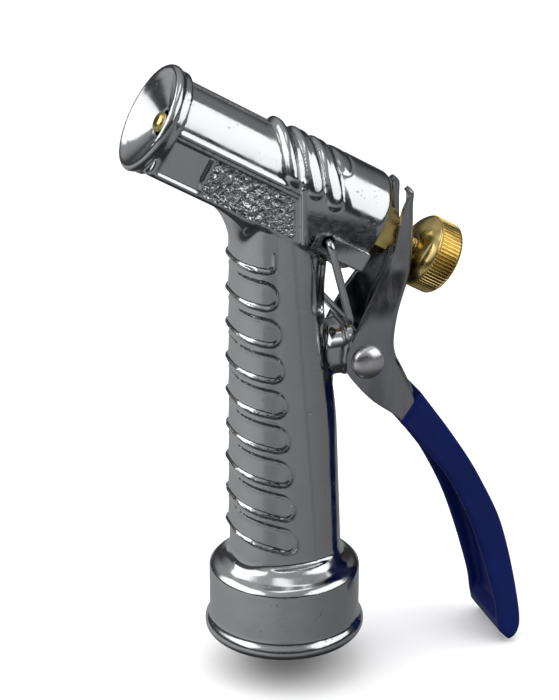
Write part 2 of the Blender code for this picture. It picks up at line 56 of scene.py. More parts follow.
# the barrel's axis: forward along it, up across it
AXIS_Z = 110.8
INCLINE = math.radians(30.2)
FORWARD = (-math.cos(INCLINE), math.sin(INCLINE))
UPWARD = (math.sin(INCLINE), math.cos(INCLINE))

# stations along the barrel, forward positive
LIP_S = 35.5
BELL_BACK_S = 31.3
THROAT_S = 32.0
SEAT_S = 26.0
CHAMBER_REAR_S = -9.0
REAR_FACE_S = -21.5
TIP_S = 33.4
STEM_END_S = -43.6
SPRING_REAR_S = -8.75
SPRING_FRONT_S = 18.45
SPRING_WIRE = 0.45
KNOB_FRONT_S = -35.3
KNOB_REAR_S = -44.0

# radii and half widths
FRONT_RADIUS = 10.5
REAR_RADIUS = 12.1
WAIST_RADIUS = 11.3
BELL_RADIUS = 12.4
MOUTH_RADIUS = 11.3
THROAT_RADIUS = 2.95
CHAMBER_RADIUS = 6.4
GLAND_RADIUS = 4.9
STEM_RADIUS = 1.9
TIP_RADIUS = 2.2
KNOB_RADIUS = 8.65
KNURLS = 64
EAR_HALF_WIDTH = 11.6
WALL_HALF_WIDTH = 11.1
THREAD_RADIUS = 12.95
RIVET_HEAD_RADIUS = 3.9
RIVET_DOME = 1.85
COIL_RADIUS = 3.4
COIL_TURNS = 9
NUT_ACROSS_FLATS = 10.0
THREAD_PITCH = 25.4 / 11.5
INLET_DEPTH = 15.0

PIVOT = (17.0, 69.3)
CLIP_HOLE = (6.4, 100.0)
CLIP_BAR = (11.5, 80.4)
CLIP_HALF_WIDTH = 12.9
CLIP_WIRE = 0.9

# ribs over the rear barrel: half width, crest, and each one's x and the height where it ends
RIB_HALF = 2.05
RIB_CREST = 1.05
RIBS = [(3.75, 109.9), (8.15, 106.9)]
FAINT_RIB = (12.0, 113.8)

# finger pads down the grip: height of the first, spacing, half height and slope towards the front
PAD_TOP_Z = 88.3
PAD_PITCH = 8.65
PAD_COUNT = 8
PAD_HALF = 3.4
PAD_SLOPE = (0.13, 0.33)

# lever sections from the fork down: back (x, z), front (x, z), half width
LEVER_SECTIONS = [
    ((27.9, 108.5), (26.9, 107.7), 6.2),
    ((28.7, 107.2), (27.3, 106.5), 6.3),
    ((28.7, 103.6), (25.9, 103.3), 6.4),
    ((28.8, 99.0), (25.1, 99.4), 6.4),
    ((28.8, 94.5), (24.2, 94.9), 6.4),
    ((28.5, 90.0), (22.7, 90.8), 6.5),
    ((27.2, 86.0), (19.8, 86.0), 7.3),
    ((25.2, 81.2), (17.0, 81.4), 8.4),
    ((24.1, 76.8), (14.4, 76.6), 9.0),
    ((23.8, 72.8), (12.4, 72.4), 9.0),
    ((24.4, 69.6), (12.0, 69.2), 9.0),
    ((25.9, 66.6), (12.7, 66.2), 9.0),
    ((27.8, 62.6), (18.0, 59.8), 9.0),
    ((30.2, 57.9), (25.0, 54.2), 9.0),
    ((36.3, 49.5), (31.5, 47.7), 9.0),
]
SHEET = 1.2
LEVER_CORNER = 1.6
SLOT_HALF = 3.5
SLOT_FLOOR_Z = 91.2

# vinyl dip: outer back curve, front edge curve, and widths
DIP_BACK = [
    (30.2, 60.2), (33.6, 55.4), (37.4, 50.0), (42.6, 42.0), (46.4, 35.2), (51.1, 25.5), (53.9, 16.8),
    (56.0, 8.2), (57.6, 0.2), (58.2, -4.6), (57.9, -7.2), (56.9, -9.0), (55.3, -9.8),
]
DIP_FRONT = [
    (25.3, 53.0), (29.4, 48.2), (34.6, 41.6), (38.4, 35.9), (43.2, 26.3), (46.6, 17.2), (49.3, 8.6),
    (51.4, 1.0), (52.2, -4.0), (52.9, -7.2),
]
DIP_HALF_WIDTH = 9.95
DIP_WALL = 2.2
DIP_WEB = 3.3
FLOOR_Z = -10.6

CELL = 0.47

# the view: angle round to the muzzle side, angle above, distance and aim in metres, lens and shift
VIEW_TURN = math.radians(18.0)
VIEW_RISE = math.radians(22.085)
VIEW_DISTANCE = 0.455
VIEW_TARGET = Vector((0.0, 0.0, 0.0712))
VIEW_LENS = 102.48
VIEW_SHIFT = (-0.0068, -0.0018)

# softboxes round the object: distance, azimuth, elevation, width, height, power
SOFTBOXES = {
    "right_softbox": (0.62, -34.0, 30.0, 0.68, 0.48, 1.5),
    "left_softbox": (0.62, 172.0, 36.0, 0.80, 0.46, 1.8),
    "top_softbox": (0.7, -60.0, 84.0, 0.5, 0.16, 0.3),
}
CEILING_HEIGHT = 3.0
CEILING_SIZE = 8.0
CEILING_POWER = 290.0
FLOOR_REACH = 4.0

# greys of the room that the chrome mirrors, by elevation, and the pale ground behind the object
ROOM = [(-90, 0.04), (-48, 0.05), (-30, 0.30), (-8, 0.37), (-3, 0.05), (14, 0.05), (30, 0.30), (90, 0.45)]
BACKDROP = (0.93, 0.93, 0.935)

# base colours that more than one place uses
CHROME = (0.58, 0.59, 0.60)


# ---------------------------------------------------------------- distance fields, in millimetres

def ramp(low, high, t):
    """0 below low, 1 above high, smooth between."""
    t = np.clip((t - low) / (high - low), 0.0, 1.0)
    return t * t * (3.0 - 2.0 * t)


def window(t, low, high, soft):
    return ramp(low - soft, low + soft, t) * (1.0 - ramp(high - soft, high + soft, t))


def join(a, b, fillet):
    """Union of two distances with a soft fillet."""
    h = np.clip(0.5 + 0.5 * (b - a) / fillet, 0.0, 1.0)
    return b + (a - b) * h - fillet * h * (1.0 - h)


def common(a, b, edge):
    """Intersection of two distances with a rounded edge of that radius."""
    return np.minimum(-edge, np.maximum(a, b)) + np.hypot(np.maximum(edge + a, 0), np.maximum(edge + b, 0))


def cut(a, b, edge):
    return common(a, -b, edge)


def rounded_box(u, v, half_u, half_v, radius):
    du = np.abs(u) - half_u + radius
    dv = np.abs(v) - half_v + radius
    return np.hypot(np.maximum(du, 0), np.maximum(dv, 0)) + np.minimum(np.maximum(du, dv), 0) - radius


def outline(u, v, points):
    """Distance to a closed outline in the plane."""
    square = np.full(u.shape, np.inf)
    inside = np.zeros(u.shape, bool)
    for (au, av), (bu, bv) in zip(points, points[1:] + points[:1]):
        eu = bu - au
        ev = bv - av
        t = np.clip(((u - au) * eu + (v - av) * ev) / (eu * eu + ev * ev), 0.0, 1.0)
        square = np.minimum(square, (u - au - eu * t) ** 2 + (v - av - ev * t) ** 2)
        if ev:
            inside ^= ((av <= v) != (bv <= v)) & (u < au + (v - av) * eu / ev)
    return np.where(inside, -1.0, 1.0) * np.sqrt(square)


def capsule(u, v, w, u_low, u_high, radius):
    """Bar along u from u_low to u_high with round ends; v and w are measured from its axis."""
    return np.sqrt((u - np.clip(u, u_low, u_high)) ** 2 + v * v + w * w) - radius


def spline(points, steps):
    """Smooth curve through points of any dimension, with that many points for each span."""
    p = np.array(points, float)
    p = np.vstack([2 * p[0] - p[1], p, 2 * p[-1] - p[-2]])
    t = np.linspace(0.0, 1.0, steps, endpoint=False)[:, None]
    made = []
    for a, b, c, d in zip(p, p[1:], p[2:], p[3:]):
        made.append(0.5 * (2 * b + (c - a) * t + (2 * a - 5 * b + 4 * c - d) * t * t
                           + (3 * b - a - 3 * c + d) * t ** 3))
    made.append(p[-2][None])
    return np.vstack(made)


def pebbles(u, v):
    """Wormy cast relief between -1 and 1: short waves crossing at many angles."""
    total = 0.0
    for i in range(9):
        angle = 2.4 * i
        wave = 2.0 * math.pi / (1.45 + 0.11 * i)
        total = total + np.sin(wave * (u * math.cos(angle) + v * math.sin(angle)) + 1.9 * i)
    return np.tanh(0.75 * total)


def barrel_place(p):
    x, y, z = p.T
    s = x * FORWARD[0] + (z - AXIS_Z) * FORWARD[1]
    n = x * UPWARD[0] + (z - AXIS_Z) * UPWARD[1]
    return s, n


def rough_panel(x, s, n):
    """Where the cast pebbles lie on the front barrel's flanks."""
    return window(n, -8.9, -1.0, 0.3) * (1.0 - ramp(20.0, 20.8, s)) * (1.0 - ramp(-1.4, -0.8, x))


def front_barrel(x, y, z, s, n):
    side = np.abs(y)
    ring = np.hypot(n, y) - FRONT_RADIUS
    floor = -10.2
    lower = rounded_box(n - floor / 2, y, -floor / 2, FRONT_RADIUS, 1.1)
    shape = np.minimum(ring, lower)
    flank = ramp(7.5, 9.0, side)
    panel_end = 21.7 - 0.9 * ramp(-6.0, -9.0, n)
    smooth_panel = window(s, panel_end, 31.4, 0.35) * window(n, -8.9, -0.7, 0.3)
    relief = -0.5 * smooth_panel - (0.30 - 0.2 * pebbles(s, n)) * rough_panel(x, s, n)
    shape = shape - flank * relief
    shape = np.maximum(shape, s - 33.0)
    shape = np.maximum(shape, x - 2.0)
    rail = capsule(s, n - 0.7, side - 10.35, 0.6, 32.0, 0.6)
    bead = capsule(s, n + 0.35, side - 10.4, 0.2, 32.0, 0.36)
    spine = np.maximum(rounded_box(n - 10.0, y, 0.75, 1.8, 0.15), np.abs(s - 16.0) - 16.0)
    return np.minimum(join(join(shape, rail, 0.2), bead, 0.15), spine)


def bell(s, n, y):
    r = np.hypot(n, y)
    bead = np.hypot(r - (BELL_RADIUS - 1.3), s - (LIP_S - 1.15)) - 1.3
    core = rounded_box(s - (BELL_BACK_S + LIP_S - 0.7) / 2, r, (LIP_S - 0.7 - BELL_BACK_S) / 2, 11.4, 0.3)
    band = rounded_box(s - (BELL_BACK_S + 1.0), r, 1.0, BELL_RADIUS - 0.45, 0.45)
    return join(join(core, band, 0.2), bead, 0.35)


def finger_rib(x, z, centre, end):
    """How deep a point is inside one rib's outline seen from the side: 0 at its edge."""
    top = end + RIB_HALF
    return RIB_HALF - np.hypot(x - centre, np.minimum(z - top, 0.0))


def rear_barrel(x, y, z, s, n):
    side = np.abs(y)
    front_rise = 1.75 * ramp(-3.7, -1.5, x) - 1.0 * ramp(-0.9, 0.5, x)
    radius = 10.45 + front_rise * ramp(0.2, 3.2, n)
    behind = WAIST_RADIUS + (REAR_RADIUS - WAIST_RADIUS) * ramp(8.4, 12.0, x)
    radius = np.where(x > 0.65, behind, radius)
    for centre, end in RIBS:
        deep = np.clip(finger_rib(x, z, centre, end) / RIB_HALF, 0.0, 1.0)
        bead = np.sqrt(1.0 - (1.0 - deep) ** 2)
        trough = 0.14 * ramp(0.5, 1.0, deep)
        height = RIB_CREST * (bead - trough)
        radius = np.maximum(radius, np.where(deep > 0, WAIST_RADIUS - 0.1 + height, 0.0))
    dimple = finger_rib(x, z, *FAINT_RIB)
    radius = radius - 0.2 * np.exp(-(dimple / 0.35) ** 2) * window(z, 113.0, 117.0, 0.5)
    tube = np.hypot(n, y) - radius
    wall = np.maximum(rounded_box(n + 3.0, y, 6.6, WALL_HALF_WIDTH, 0.6), 0.65 - x)
    wall = np.maximum(wall, -7.5 - s)
    stub = np.maximum(rounded_box(n + 2.0, y, 4.6, WALL_HALF_WIDTH, 0.6), 0.65 - x)
    shape = join(tube, np.minimum(wall, stub), 0.5)
    shape = np.maximum(shape, s - 18.0)
    shape = np.maximum(shape, -4.2 - x)
    shape = common(shape, REAR_FACE_S - s, 1.5)
    ridge = capsule(z, x - 0.7, side - 11.1, 99.8, 112.4, 0.46)
    return join(shape, ridge, 0.25)


def ears(s, n, y):
    """Flat plates that carry the clip."""
    plate = rounded_box(s + 14.9, n + 6.85, 7.0, 2.35, 0.4)
    corner = np.hypot(np.maximum(s + 10.0, 0.0), np.maximum(n + 6.7, 0.0)) - 2.1
    plate = np.maximum(plate, np.where((s > -10.0) & (n > -6.7), corner, -9.0))
    return common(plate, np.abs(y) - EAR_HALF_WIDTH, 0.25)


def grip_sizes(z):
    front = -12.6 + 0.011 * (z - 25.0)
    rear = 13.3 - 0.042 * (z - 20.0) - 2.3 * ramp(52.0, 84.0, z) + 1.4 * ramp(82.0, 96.0, z)
    half = 10.85 - 0.004 * (z - 14.0)
    return front, rear, half


def pad_relief(x, y, z):
    """Height of the finger pads over the grip: each rises towards its lower lip and wraps the front."""
    height = 0.0
    for i in range(-1, PAD_COUNT):
        level = PAD_TOP_Z - PAD_PITCH * i
        end = -0.1 - 0.0726 * (level - 28.3)
        slope = PAD_SLOPE[0] + (PAD_SLOPE[1] - PAD_SLOPE[0]) * (i + 1) / PAD_COUNT
        up = z - level + slope * (x - end + PAD_HALF)
        along = x - (end - PAD_HALF)
        if i < 0:
            up_out = np.maximum(-up - PAD_HALF + 2.4, 0.0)
            deep = 2.4 - np.hypot(np.maximum(along - PAD_HALF + 2.4, 0.0), up_out)
            deep = np.where(up > 0.0, 2.4 - np.maximum(along - PAD_HALF + 2.4, 0.0), deep)
            low = ramp(7.0, -PAD_HALF, up)
        else:
            deep = PAD_HALF - np.hypot(np.maximum(along, 0.0), up)
            low = ramp(PAD_HALF + 0.5, -PAD_HALF, up)
        lip = np.exp(-((deep - 0.55) / 0.36) ** 2)
        front = 1.0 - ramp(-11.0, -3.0, x)
        pad = ramp(0.0, 0.5, deep) * (0.12 + 0.2 * low) + lip * (0.12 + (0.2 + 0.35 * front) * low ** 2)
        height = np.maximum(height, pad)
    return height


def grip(x, y, z):
    front, rear, half = grip_sizes(z)
    centre = (front + rear) / 2
    power = np.where(x > centre, 2.45, 2.75)
    across = np.abs(x - centre) / ((rear - front) / 2)
    level = (across ** power + (np.abs(y) / half) ** power) ** (1.0 / power)
    reach = np.hypot(x - centre, y)
    shape = reach * (1.0 - 1.0 / np.maximum(level, 0.05))
    shape = shape * 0.92 - pad_relief(x, y, z)
    seam = 4.8 - 0.075 * (z - 18.4)
    shape = shape + 0.24 * ramp(-0.15, 0.2, x - seam) * ramp(4.0, 8.0, np.abs(y))
    shape = common(shape, np.maximum(12.0 - z, z - 108.0), 0.3)
    web = np.maximum(np.abs(y) - 2.6, outline(x, z, [(2.0, 62.0), (10.9, 63.0), (9.4, 72.0), (8.7, 80.0),
                                                     (8.6, 99.0), (2.0, 99.0)]))
    facet = outline(x, z, [(3.0, 97.0), (9.4, 97.0), (8.6, 84.0), (7.0, 80.6), (5.6, 81.8)])
    shape = shape + 0.9 * ramp(0.0, -0.5, facet) * ramp(3.0, 6.0, np.abs(y))
    return join(shape, web, 0.8)


def collar(x, y, z):
    r = np.hypot(x, y)
    side = [(0.0, 20.0), (12.4, 20.0), (13.4, 19.0), (15.2, 17.7), (16.6, 17.0), (17.26, 16.3),
            (17.26, 1.2), (0.0, 1.2)]
    body = outline(r, z, side) - 0.6
    bead = rounded_box(r - 9.0, z - 1.75, 10.0, 1.75, 1.55)
    return join(body, bead, 1.1)


def lug(x, y, z):
    """Round arm behind the grip with a boss that the lever's rivet goes through."""
    boss = common(np.hypot(x - PIVOT[0], z - PIVOT[1]) - 4.5, np.abs(y) - 7.2, 0.6)
    arm = rounded_box(y, z - 70.6, 6.5, 5.9, 4.6)
    arm = common(arm, np.abs(x - 10.0) - 6.0, 0.5)
    collar_ring = common(rounded_box(y, z - 70.9, 7.1, 6.4, 4.8), np.abs(x - 14.0) - 1.3, 0.5)
    return join(join(boss, arm, 0.5), collar_ring, 0.3)


def water_way(x, y, z, s, n):
    """Everything hollow: bell, throat, valve chamber, gland, riser and threaded hose socket."""
    r = np.hypot(n, y)
    depth = np.clip((s - THROAT_S) / (LIP_S - THROAT_S), 0.0, 1.4)
    flare = THROAT_RADIUS + (MOUTH_RADIUS - THROAT_RADIUS) * depth ** 0.8
    funnel = np.maximum((r - flare) * 0.5, THROAT_S - s)
    hollow = np.minimum(funnel, np.maximum(r - THROAT_RADIUS, np.abs(s - 29.5) - 5.0))
    middle = (SEAT_S + CHAMBER_REAR_S) / 2
    hollow = np.minimum(hollow, np.maximum(r - CHAMBER_RADIUS, np.abs(s - middle) - (SEAT_S - middle)))
    hollow = np.minimum(hollow, np.maximum(r - GLAND_RADIUS, np.abs(s + 17.0) - 9.0))
    upright = np.hypot(x, y)
    hollow = np.minimum(hollow, np.maximum(upright - 6.0, np.abs(z - 57.0) - 45.0))
    turn = z / THREAD_PITCH - np.arctan2(y, x) / (2.0 * math.pi)
    tooth = np.abs(turn - np.floor(turn) - 0.5) * 2.0
    thread = THREAD_RADIUS - 0.75 + 1.0 * ramp(0.2, 0.8, tooth)
    wall = np.where(z < INLET_DEPTH - 3.6, thread, 13.0)
    wall = np.maximum(wall, THREAD_RADIUS + 1.4 - np.maximum(z, -1.0))
    socket = np.maximum((upright - wall) * 0.75, np.abs(z - 5.0) - (INLET_DEPTH - 5.0))
    return np.minimum(hollow, socket)


def casting(p):
    x, y, z = p.T
    s, n = barrel_place(p)
    barrel = join(front_barrel(x, y, z, s, n), bell(s, n, y), 0.4)
    barrel = join(barrel, rear_barrel(x, y, z, s, n), 0.35)
    barrel = join(barrel, ears(s, n, y), 0.15)
    handle = join(grip(x, y, z), collar(x, y, z), 1.1)
    handle = join(handle, lug(x, y, z), 1.0)
    body = join(barrel, handle, 0.45 + 9.0 * (1.0 - ramp(-13.0, -8.0, x)))
    body = cut(body, water_way(x, y, z, s, n), 0.25)
    pivot_bore = np.hypot(x - PIVOT[0], z - PIVOT[1]) - 2.3
    clip_bore = np.hypot(x - CLIP_HOLE[0], z - CLIP_HOLE[1]) - 1.3
    clip_bore = np.maximum(clip_bore, 7.4 - np.abs(y))
    return cut(cut(body, pivot_bore, 0.2), clip_bore, 0.15)


def mark_casting(mesh):
    """Vertex masks that the chrome reads: the pebbled panel, and the flank behind the ridge, which gets real
    pits and a painted shade that darkens its colour.
    """
    points = np.empty(len(mesh.vertices) * 3)
    mesh.vertices.foreach_get("co", points)
    points = points.reshape(-1, 3) / MM
    x, y, z = points.T
    s, n = barrel_place(points)
    outer = ramp(8.5, 9.3, np.abs(y))
    # the flank's mask gives real pits and roughness, and also paints shade by darkening the chrome colour
    flank = window(x, 1.6, 17.5, 0.5) * window(z, 97.5, 107.6 - 0.25 * x, 1.4) * (s > REAR_FACE_S + 0.6)
    for name, values in (("pebbled", rough_panel(x, s, n) * outer), ("pits_and_painted_shade", flank * outer)):
        mesh.attributes.new(name, "FLOAT", "POINT").data.foreach_set("value", values.astype(np.float32))


def vinyl_dip(p):
    x, y, z = p.T
    back = [tuple(q) for q in spline(DIP_BACK, 6)]
    front = [tuple(q) for q in spline(DIP_FRONT, 6)]
    ahead = outline(x, z, back + [(20.0, -9.9), (-20.0, 40.0), (14.0, 74.0)])
    side = outline(x, z, back + front[::-1])
    side = common(side, np.abs(y) - DIP_HALF_WIDTH, 1.3)
    toe = 3.4 * (1.0 - ramp(-6.5, -1.0, z))
    channel = common(ahead + DIP_WEB + toe, np.abs(y) - (DIP_HALF_WIDTH - DIP_WALL), 1.0)
    return cut(side, channel, 0.6)


# ---------------------------------------------------------------- from distances to a mesh

def grid_points(axes):
    return np.stack(np.meshgrid(*axes, indexing="ij"), -1).reshape(-1, 3)


def sample_near_surface(distance, low, cell, shape, block=4):
    """Distances on a grid, worked out only in the blocks that the surface may cross."""
    blocks = [-(-count // block) for count in shape]
    axes = [a + (np.arange(count) + 0.5) * block * cell - cell / 2 for a, count in zip(low, blocks)]
    rough = distance(grid_points(axes)).reshape(blocks)
    near = np.abs(rough) < 1.6 * block * cell
    for axis, count in enumerate(shape):
        rough = rough.repeat(block, axis).take(range(count), axis)
        near = near.repeat(block, axis).take(range(count), axis)
    field = rough.copy()
    wanted = np.argwhere(near)
    for start in range(0, len(wanted), 400000):
        part = wanted[start:start + 400000]
        field[tuple(part.T)] = distance(np.array(low) + part * cell)
    return field


def surface(name, distance, low, high, cell):
    """Mesh of the zero level of a distance: a point in every crossed cell, drawn onto the exact surface."""
    shape = [int(math.ceil((b - a) / cell)) + 1 for a, b in zip(low, high)]
    field = sample_near_surface(distance, low, cell, shape)
    solid = field < 0.0
    corners = [(i, j, k) for i in (0, 1) for j in (0, 1) for k in (0, 1)]
    size = [count - 1 for count in shape]
    filled = sum(solid[i:i + size[0], j:j + size[1], k:k + size[2]].astype(np.int8) for i, j, k in corners)
    cells = np.argwhere((filled > 0) & (filled < 8))
    number = np.full(size, -1, np.int64)
    number[tuple(cells.T)] = np.arange(len(cells))
    values = {c: field[tuple((cells + c).T)] for c in corners}
    total = np.zeros((len(cells), 3))
    crossings = np.zeros(len(cells))
    for a in corners:
        for axis in range(3):
            if a[axis]:
                continue
            b = tuple(v + (i == axis) for i, v in enumerate(a))
            crossed = (values[a] < 0.0) != (values[b] < 0.0)
            share = np.where(crossed, values[a] / np.where(crossed, values[a] - values[b], 1.0), 0.0)
            spot = np.array(a, float) + share[:, None] * (np.arange(3) == axis)
            total += np.where(crossed[:, None], spot, 0.0)
            crossings += crossed
    points = np.array(low) + (cells + total / crossings[:, None]) * cell
    quads = []
    for axis in range(3):
        u, v = [(1, 2), (2, 0), (0, 1)][axis]
        step = np.eye(3, dtype=int)
        near_end = solid.take(range(shape[axis] - 1), axis)
        far_end = solid.take(range(1, shape[axis]), axis)
        edges = np.argwhere(near_end != far_end)
        inner = (edges[:, u] > 0) & (edges[:, v] > 0) & (edges[:, u] < size[u]) & (edges[:, v] < size[v])
        edges = edges[inner]
        outward = near_end[tuple(edges.T)]
        ring = [edges - step[u] - step[v], edges - step[v], edges, edges - step[u]]
        quad = np.stack([number[tuple(q.T)] for q in ring], 1)
        quads.append(np.where(outward[:, None], quad, quad[:, ::-1]))
    for _ in range(3):
        points = onto_surface(distance, points, cell)
    return mesh_piece(name, points * MM, np.vstack(quads))


def onto_surface(distance, points, cell):
    """One step of every point along the slope to the zero level, never further than half a cell."""
    reach = 0.05
    here = distance(points)
    slope = np.stack([distance(points + reach * axis) - distance(points - reach * axis)
                      for axis in np.eye(3)], 1) / (2.0 * reach)
    steep = np.maximum((slope ** 2).sum(1), 0.3)
    move = np.clip(here / steep, -0.5 * cell, 0.5 * cell)
    return points - move[:, None] * slope


def mesh_piece(name, points, faces):
    mesh = bpy.data.meshes.new(name)
    mesh.from_pydata(np.asarray(points).tolist(), [], [[int(i) for i in face] for face in faces])
    mesh.shade_smooth()
    piece = bpy.data.objects.new(name, mesh)
    bpy.context.scene.collection.objects.link(piece)
    return piece


# ---------------------------------------------------------------- turned and bent pieces

def rounded_profile(corners, steps=5):
    """Polyline (radius, station, rounding) with each corner replaced by a smooth bend."""
    made = []
    count = len(corners)
    for i, (r, s, rounding) in enumerate(corners):
        here = np.array((r, s), float)
        if not rounding or i in (0, count - 1):
            made.append(here)
            continue
        before = np.array(corners[i - 1][:2], float) - here
        after = np.array(corners[i + 1][:2], float) - here
        a = here + before / np.linalg.norm(before) * min(rounding, np.linalg.norm(before) / 2)
        b = here + after / np.linalg.norm(after) * min(rounding, np.linalg.norm(after) / 2)
        for t in np.linspace(0.0, 1.0, steps):
            made.append(a * (1 - t) ** 2 + here * 2 * t * (1 - t) + b * t * t)
    return np.array(made)


def turned(name, corners, place, segments=96, relief=None):
    """Turned piece: the profile runs from one end of the axis to the other, both on the axis or welded."""
    profile = rounded_profile(corners)
    angle = np.arange(segments) * 2 * math.pi / segments
    radius = np.repeat(profile[:, :1], segments, 1)
    station = np.repeat(profile[:, 1:], segments, 1)
    if relief:
        radius = relief(np.broadcast_to(angle, radius.shape), radius, station)
    points = np.stack([radius * np.cos(angle), radius * np.sin(angle), station], -1).reshape(-1, 3)
    quads = []
    for row in range(len(profile) - 1):
        a = row * segments + np.arange(segments)
        b = row * segments + (np.arange(segments) + 1) % segments
        quads.append(np.stack([a, b, b + segments, a + segments], 1))
    piece = mesh_piece(name, points * MM, np.vstack(quads))
    bm = bmesh.new()
    bm.from_mesh(piece.data)
    bmesh.ops.remove_doubles(bm, verts=bm.verts, dist=0.00001)
    bmesh.ops.recalc_face_normals(bm, faces=bm.faces)
    bm.to_mesh(piece.data)
    bm.free()
    piece.data.transform(place)
    return piece


def sharp_edges(piece, degrees):
    piece.data.set_sharp_from_angle(angle=math.radians(degrees))
    return piece


def on_barrel():
    """Turned pieces' place: local Z forward along the barrel, local X up across it."""
    return Matrix((
        (UPWARD[0], 0.0, FORWARD[0], 0.0),
        (0.0, 1.0, 0.0, 0.0),
        (UPWARD[1], 0.0, FORWARD[1], AXIS_Z * MM),
        (0.0, 0.0, 0.0, 1.0),
    ))


def knurl(angle, radius, station):
    """Straight teeth on the knob's rim."""
    on_rim = ramp(KNOB_RADIUS - 0.35, KNOB_RADIUS - 0.05, radius)
    tooth = np.abs(((angle * KNURLS / (2 * math.pi)) % 1.0) * 2.0 - 1.0)
    return radius - 0.62 * on_rim * ramp(0.3, 0.95, tooth)


def hexagon(across_flats):
    def relief(angle, radius, station):
        sixth = angle % (math.pi / 3) - math.pi / 6
        return np.minimum(radius, across_flats / 2 / np.cos(sixth))
    return relief


def screw_thread(first, last, depth, pitch):
    def relief(angle, radius, station):
        turn = station / pitch - angle / (2 * math.pi)
        tooth = np.abs((turn % 1.0) * 2.0 - 1.0)
        return radius - depth * ramp(0.2, 0.8, tooth) * window(station, first, last, 0.3) * (radius > 1.0)
    return relief


def build_knob():
    bore = STEM_RADIUS + 0.25
    corners = [(bore, KNOB_FRONT_S - 0.2, 0), (3.3, KNOB_FRONT_S, 0.3), (4.6, -35.5, 0.6), (7.0, -36.4, 1.0),
               (8.3, -37.7, 0.4), (8.25, -38.0, 0.1), (KNOB_RADIUS, -38.2, 0.1),
               (KNOB_RADIUS, -43.3, 0.3), (8.0, KNOB_REAR_S, 0.4), (3.2, KNOB_REAR_S, 0.3),
               (2.9, KNOB_REAR_S + 0.5, 0.2), (bore, KNOB_REAR_S + 0.5, 0), (bore, KNOB_FRONT_S - 0.2, 0)]
    return sharp_edges(turned("knurled_knob", corners, on_barrel(), KNURLS * 8, knurl), 38.0)


def build_stem():
    shoulder = 21.0
    thread = [(STEM_RADIUS, s, 0) for s in np.arange(-30.0, STEM_END_S + 0.8, -0.12)]
    corners = [(0.0, TIP_S, 0), (1.3, TIP_S - 0.05, 0.4), (TIP_RADIUS, TIP_S - 0.5, 0.4),
               (TIP_RADIUS, TIP_S - 2.0, 0), (TIP_RADIUS, shoulder, 0),
               (3.4, shoulder, 0.2), (3.4, shoulder - 1.4, 0.2), (STEM_RADIUS, shoulder - 1.8, 0)]
    corners += thread + [(STEM_RADIUS - 0.4, STEM_END_S, 0.2), (0.0, STEM_END_S, 0)]
    return sharp_edges(turned("valve_stem", corners, on_barrel(), 48,
                              screw_thread(-43.0, -30.4, 0.28, 0.8)), 50.0)


def build_nut():
    head_front = REAR_FACE_S - 0.3
    head_rear = -28.6
    shank_front = -20.2
    bore = STEM_RADIUS + 0.3
    steps = [(6.2, s, 0) for s in np.linspace(head_front - 0.3, head_rear + 1.1, 6)]
    corners = [(bore, shank_front, 0), (4.6, shank_front, 0.2), (4.6, head_front, 0), (5.4, head_front, 0.2)]
    corners += steps + [(4.75, head_rear, 0.3), (3.0, head_rear, 0.2), (bore, head_rear + 0.5, 0),
                        (bore, shank_front, 0)]
    return sharp_edges(turned("gland_nut", corners, on_barrel(), 144, hexagon(NUT_ACROSS_FLATS)), 24.0)


def build_rivet():
    """Domed on the near side and the far side, seated on the cheeks."""
    face = 9.0 + 0.12
    rim = face + 0.35
    dome = [(RIVET_HEAD_RADIUS * math.cos(a), rim + RIVET_DOME * math.sin(a), 0)
            for a in np.radians(range(90, -1, -10))]
    half = dome + [(RIVET_HEAD_RADIUS, face, 0), (2.0, face, 0)]
    corners = half + [(r, -s, 0) for r, s, _ in reversed(half)]
    place = Matrix.Translation((PIVOT[0] * MM, 0.0, PIVOT[1] * MM)) @ Matrix.Rotation(math.pi / 2, 4, "X")
    return sharp_edges(turned("domed_rivet", corners, place, 72), 50.0)


def build_clip():
    """Wire bail: turned-in ends, two legs and a cross bar, with round bends."""
    inner = EAR_HALF_WIDTH - 3.4
    near = [(CLIP_HOLE, inner), (CLIP_HOLE, CLIP_HALF_WIDTH), (CLIP_BAR, CLIP_HALF_WIDTH)]
    route = [Vector((x, -y, z)) for (x, z), y in near]
    route += [Vector((x, y, z)) for (x, z), y in reversed(near)]
    reach = [1.7, 2.4, 2.4, 1.7]
    points = [route[0]]
    for before, here, after, size in zip(route, route[1:], route[2:], reach):
        a = here + (before - here).normalized() * size
        b = here + (after - here).normalized() * size
        for t in np.linspace(0.0, 1.0, 11):
            points.append(a * (1 - t) ** 2 + here * 2 * t * (1 - t) + b * t * t)
    points.append(route[-1])
    curve = bpy.data.curves.new("wire_clip", "CURVE")
    curve.dimensions = "3D"
    curve.bevel_depth = CLIP_WIRE * MM
    curve.bevel_resolution = 6
    curve.use_fill_caps = True
    line = curve.splines.new("POLY")
    line.points.add(len(points) - 1)
    for knot, point in zip(line.points, points):
        knot.co = (*(point * MM), 1.0)
    line.use_smooth = True
    piece = bpy.data.objects.new("wire_clip", curve)
    bpy.context.scene.collection.objects.link(piece)
    return piece


